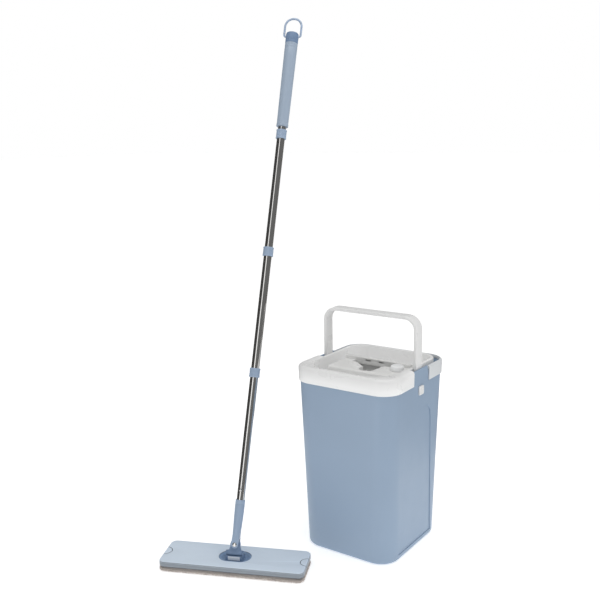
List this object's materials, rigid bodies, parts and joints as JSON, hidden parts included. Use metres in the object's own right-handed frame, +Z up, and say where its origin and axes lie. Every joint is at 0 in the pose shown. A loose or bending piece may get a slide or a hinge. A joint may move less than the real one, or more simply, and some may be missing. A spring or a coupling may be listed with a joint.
{
  "type": "flat mop and bucket with wringer",
  "caption": "Flat mop with a jointed pole, standing beside a tall square bucket that holds a lift-out slot wringer under an upright bail handle.",
  "frame": {"origin": "centre of the bucket's flat base, on the floor", "axes": "+Z up, -Y to the bucket's front (the side with the one-piece front collar), +X to its right. The mop stands on the same floor at the bucket's left front corner, with its head turned 23.7 degrees from +X."},
  "size_m": [0.4491, 0.5147, 1.1536],
  "materials": {
    "blue_plastic": "fine satin, dusty blue",
    "white_plastic": "smooth, slightly glossy white",
    "pale_blue_plastic": "smooth pale blue",
    "mid_blue_plastic": "satin mid blue",
    "dark_blue_plastic": "satin dark blue",
    "light_grey_plastic": "smooth light grey",
    "steel": "polished stainless tube",
    "rubber": "matt grey",
    "microfibre": "short looped pile, grey",
    "hook_tape": "woven hook tape",
    "milky_plastic": "milky, slightly translucent"
  },
  "bodies": {
    "bucket": {"bucket_shell": "blue_plastic", "rear_collar": "white_plastic", "pivot_cap_left": "white_plastic", "pivot_cap_right": "white_plastic"},
    "bail": {"bail_handle": "white_plastic"},
    "insert": {"front_collar": "white_plastic", "wringer_tray": "white_plastic", "slot_platform": "white_plastic", "slot_rib": "white_plastic", "cage_flange": "white_plastic", "cage_rear_panel": "white_plastic", "cage_guide_left": "white_plastic", "cage_guide_right": "white_plastic", "cage_pole_channel": "white_plastic", "cage_screw_1": "steel", "cage_screw_2": "steel", "cage_screw_3": "steel", "cage_screw_4": "steel", "roller_axle_left": "steel", "roller_axle_right": "steel"},
    "roller_left": {"guide_roller_left": "white_plastic"},
    "roller_right": {"guide_roller_right": "white_plastic"},
    "knob": {"selector_knob": "white_plastic", "knob_shaft": "light_grey_plastic"},
    "squeegee": {"squeegee_carrier": "white_plastic", "squeegee_blade": "rubber"},
    "mop_head": {"microfibre_pad": "microfibre", "hook_strip": "hook_tape", "mop_plate": "pale_blue_plastic", "end_tab_left": "pale_blue_plastic", "end_tab_right": "pale_blue_plastic", "hinge_dish": "dark_blue_plastic", "hinge_bracket": "dark_blue_plastic", "swing_pin": "steel"},
    "swing_yoke": {"yoke": "dark_blue_plastic", "tilt_rivet": "steel"},
    "pole": {"pole_socket": "mid_blue_plastic", "tube_lower": "steel", "tube_lower_middle": "steel", "tube_upper_middle": "steel", "tube_top": "steel", "joint_ring_1": "mid_blue_plastic", "joint_ring_2": "mid_blue_plastic", "joint_ring_3": "mid_blue_plastic", "grip": "mid_blue_plastic", "end_cap": "dark_blue_plastic"},
    "button": {"push_button": "steel"},
    "loop": {"hanging_loop": "milky_plastic"}
  },
  "joints": [
    {"name": "bail_hinge", "type": "hinge", "parent": "bucket", "child": "bail", "pos_m": [0, 0.002, 0.362], "axis": [-1, 0, 0], "range_deg": [0, 54]},
    {"name": "insert_lift", "type": "slide", "parent": "bucket", "child": "insert", "axis": [0, 0, 1], "range_m": [0, 0.07]},
    {"name": "roller_spin_left", "type": "hinge", "parent": "insert", "child": "roller_left", "pos_m": [-0.03625, -0.0115, 0.36], "axis": [1, 0, 0], "continuous": true},
    {"name": "roller_spin_right", "type": "hinge", "parent": "insert", "child": "roller_right", "pos_m": [0.04025, -0.0115, 0.36], "axis": [1, 0, 0], "continuous": true},
    {"name": "knob_turn", "type": "hinge", "parent": "insert", "child": "knob", "pos_m": [0.07, -0.01, 0.4], "axis": [0, 0, -1], "range_deg": [0, 60]},
    {"name": "squeegee_slide", "type": "slide", "parent": "insert", "child": "squeegee", "axis": [0, -1, 0], "range_m": [0, 0.0027]},
    {"name": "mop_lift", "type": "slide", "parent": "bucket", "child": "mop_head", "axis": [0, 0, 1], "range_m": [0, 0.3]},
    {"name": "head_swing", "type": "hinge", "parent": "mop_head", "child": "swing_yoke", "pos_m": [-0.168, -0.2817, 0.03], "axis": [0.9157, 0.4019, 0], "range_deg": [-57, 93]},
    {"name": "pole_tilt", "type": "hinge", "parent": "swing_yoke", "child": "pole", "pos_m": [-0.17024, -0.27661, 0.04712], "axis": [-0.3823, 0.8708, -0.309], "range_deg": [-93.6, 8]},
    {"name": "button_press", "type": "slide", "parent": "pole", "child": "button", "axis": [-0.3823, 0.8708, -0.309], "range_m": [0, 0.0025], "stiffness_N_per_m": 400},
    {"name": "loop_swing", "type": "hinge", "parent": "pole", "child": "loop", "pos_m": [-0.24478, 0.06841, 1.11162], "axis": [0.9217, 0.3834, -0.0597], "range_deg": [-90, 90]}
  ],
  "couplings": [
    {"joint": "squeegee_slide", "follows": "knob_turn", "m_per_rad": 0.002481}
  ]
}
